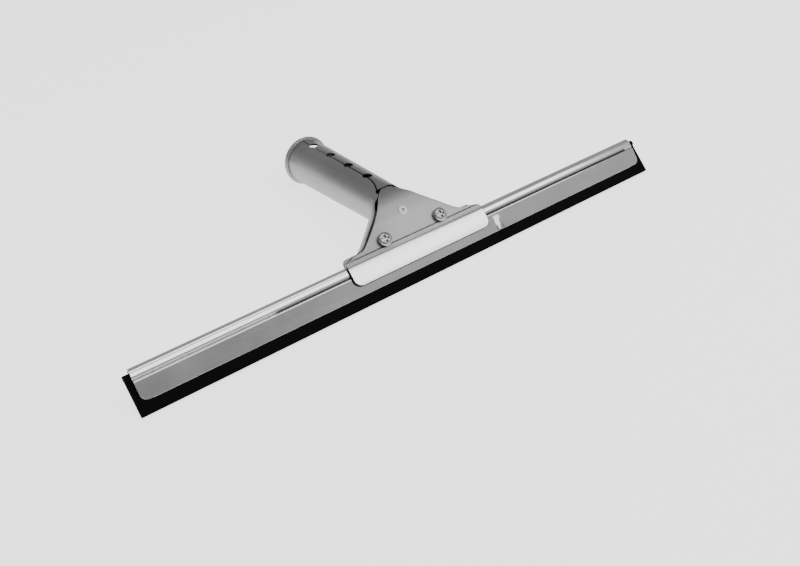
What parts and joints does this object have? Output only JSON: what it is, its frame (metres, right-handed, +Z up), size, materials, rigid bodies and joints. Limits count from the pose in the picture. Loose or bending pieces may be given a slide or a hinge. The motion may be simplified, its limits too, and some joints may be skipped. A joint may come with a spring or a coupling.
{
  "type": "window cleaning squeegee",
  "caption": "Steel window squeegee: rubber blade in a folded channel, clamped by a screwed jaw to a bent handle with a tapered pole socket.",
  "frame": {"origin": "bottom centre of the whole box, on the surface that the wiping edge and the socket's rim rest on", "axes": "+X along the blade to the right as seen from the screw side, +Y horizontally from the blade out to the socket's mouth, +Z up, with the screw side facing up and forwards"},
  "size_m": [0.35, 0.1402, 0.0383],
  "materials": {
    "handle_steel": "satin brushed stainless",
    "jaw_steel": "satin plate with a polished lip",
    "channel_steel": "polished stainless strip",
    "blade_rubber": "matte black",
    "screw_steel": "polished",
    "washer_steel": "dark spring steel",
    "nut_steel": "plain",
    "rivet_steel": "polished"
  },
  "bodies": {
    "handle": {"handle_body": "handle_steel", "front_jaw": "jaw_steel", "centre_rivet": "rivet_steel", "clamp_nut_left": "nut_steel", "clamp_nut_right": "nut_steel"},
    "left_washer": {"lock_washer_left": "washer_steel"},
    "left_screw": {"clamp_screw_left": "screw_steel"},
    "right_washer": {"lock_washer_right": "washer_steel"},
    "right_screw": {"clamp_screw_right": "screw_steel"},
    "channel": {"channel": "channel_steel"},
    "rubber": {"rubber_blade": "blade_rubber"}
  },
  "joints": [
    {"name": "left_screw_lift", "type": "slide", "parent": "handle", "child": "left_washer", "axis": [0, -0.6854, 0.7282], "range_m": [0, 0.00139]},
    {"name": "left_screw_turn", "type": "hinge", "parent": "left_washer", "child": "left_screw", "pos_m": [-0.0192, -0.05114, 0.02401], "axis": [0, -0.6854, 0.7282], "range_deg": [0, 720]},
    {"name": "right_screw_lift", "type": "slide", "parent": "handle", "child": "right_washer", "axis": [0, -0.6854, 0.7282], "range_m": [0, 0.00139]},
    {"name": "right_screw_turn", "type": "hinge", "parent": "right_washer", "child": "right_screw", "pos_m": [0.0192, -0.05114, 0.02401], "axis": [0, -0.6854, 0.7282], "range_deg": [0, 720]},
    {"name": "channel_slide", "type": "slide", "parent": "handle", "child": "channel", "axis": [1, 0, 0], "range_m": [-0.06, 0.06]},
    {"name": "rubber_slide", "type": "slide", "parent": "channel", "child": "rubber", "axis": [1, 0, 0], "range_m": [-0.05, 0.05]}
  ],
  "couplings": [
    {"joint": "left_screw_turn", "follows": "left_screw_lift", "rad_per_m": 8976},
    {"joint": "right_screw_turn", "follows": "right_screw_lift", "rad_per_m": 8976}
  ]
}
